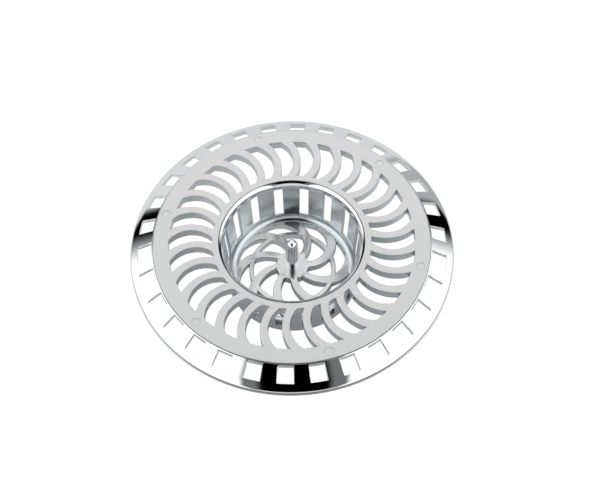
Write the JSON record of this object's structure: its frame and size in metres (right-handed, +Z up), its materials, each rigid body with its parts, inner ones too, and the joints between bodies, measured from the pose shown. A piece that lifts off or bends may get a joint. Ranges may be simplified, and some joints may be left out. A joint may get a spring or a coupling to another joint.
{
  "type": "sink strainer",
  "caption": "Round sink strainer: polished sloping rim with windows, satin swirl-slotted plate, slotted basket hung in its middle and a short lifting pin.",
  "frame": {"origin": "centre of the basket's foot, on the surface that it stands on", "axes": "+Z up along the strainer's axis; +X to the right and +Y to the back as seen in the picture"},
  "size_m": [0.08, 0.08, 0.016],
  "materials": {
    "polished_chrome": "mirror-polished chrome plate",
    "satin_steel": "fine-grained satin"
  },
  "bodies": {
    "root": {"outer_rim": "polished_chrome", "grille_plate": "satin_steel", "rim_rivets": "satin_steel", "basket_wall": "polished_chrome", "basket_floor": "satin_steel", "lift_pin": "polished_chrome"}
  },
  "joints": []
}
